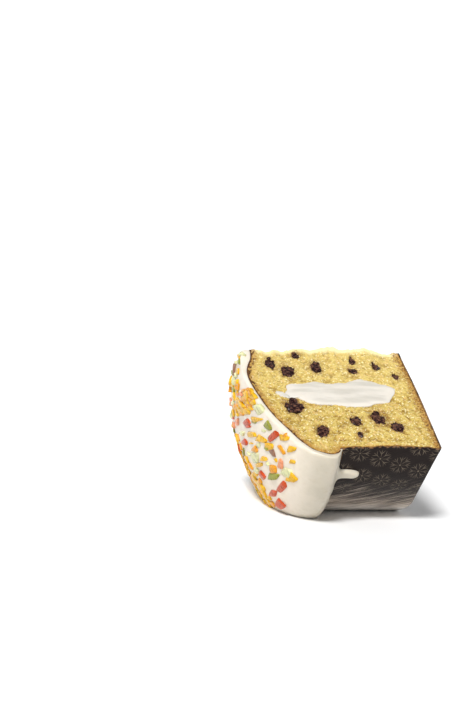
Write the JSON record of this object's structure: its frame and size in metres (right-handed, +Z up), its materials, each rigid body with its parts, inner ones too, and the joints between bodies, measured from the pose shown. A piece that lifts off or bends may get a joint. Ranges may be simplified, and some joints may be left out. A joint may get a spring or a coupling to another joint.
{
  "type": "panettone slice",
  "caption": "Wedge of round glazed panettone lying on its dark paper case, with a cream band and dark chips in the cuts and chopped candied fruit on the domed white icing.",
  "frame": {"origin": "on the floor, under the middle of the slice's bounding box", "axes": "+X towards the cake's base, so that -X is its domed top and the cake's axis lies along X; +Y away from the cut face shown in front, along the slice's length; +Z up, as the slice lies on the wall of its paper case"},
  "size_m": [0.1042, 0.1494, 0.0924],
  "materials": {
    "crumb": "dry, open yellow crumb with a thin brown crust",
    "cream": "soft, moist white cream",
    "icing": "satin warm white glaze",
    "case": "satin dark brown printed paper",
    "chip": "smooth dark chocolate"
  },
  "bodies": {
    "root": {"crumb": "crumb", "cream": "cream", "icing": "icing", "case": "case", "chip_shown_01": "chip", "chip_shown_02": "chip", "chip_shown_03": "chip", "chip_shown_04": "chip", "chip_shown_05": "chip", "chip_shown_06": "chip", "chip_shown_07": "chip", "chip_shown_08": "chip", "chip_shown_09": "chip", "chip_shown_10": "chip", "chip_shown_11": "chip", "chip_shown_12": "chip", "chip_shown_13": "chip", "chip_shown_14": "chip", "chip_shown_15": "chip", "chip_far_01": "chip", "chip_far_02": "chip", "chip_far_03": "chip", "chip_far_04": "chip", "chip_far_05": "chip", "chip_far_06": "chip", "chip_far_07": "chip", "chip_far_08": "chip", "chip_far_09": "chip", "chip_far_10": "chip", "chip_far_11": "chip", "chip_far_12": "chip"}
  },
  "joints": []
}
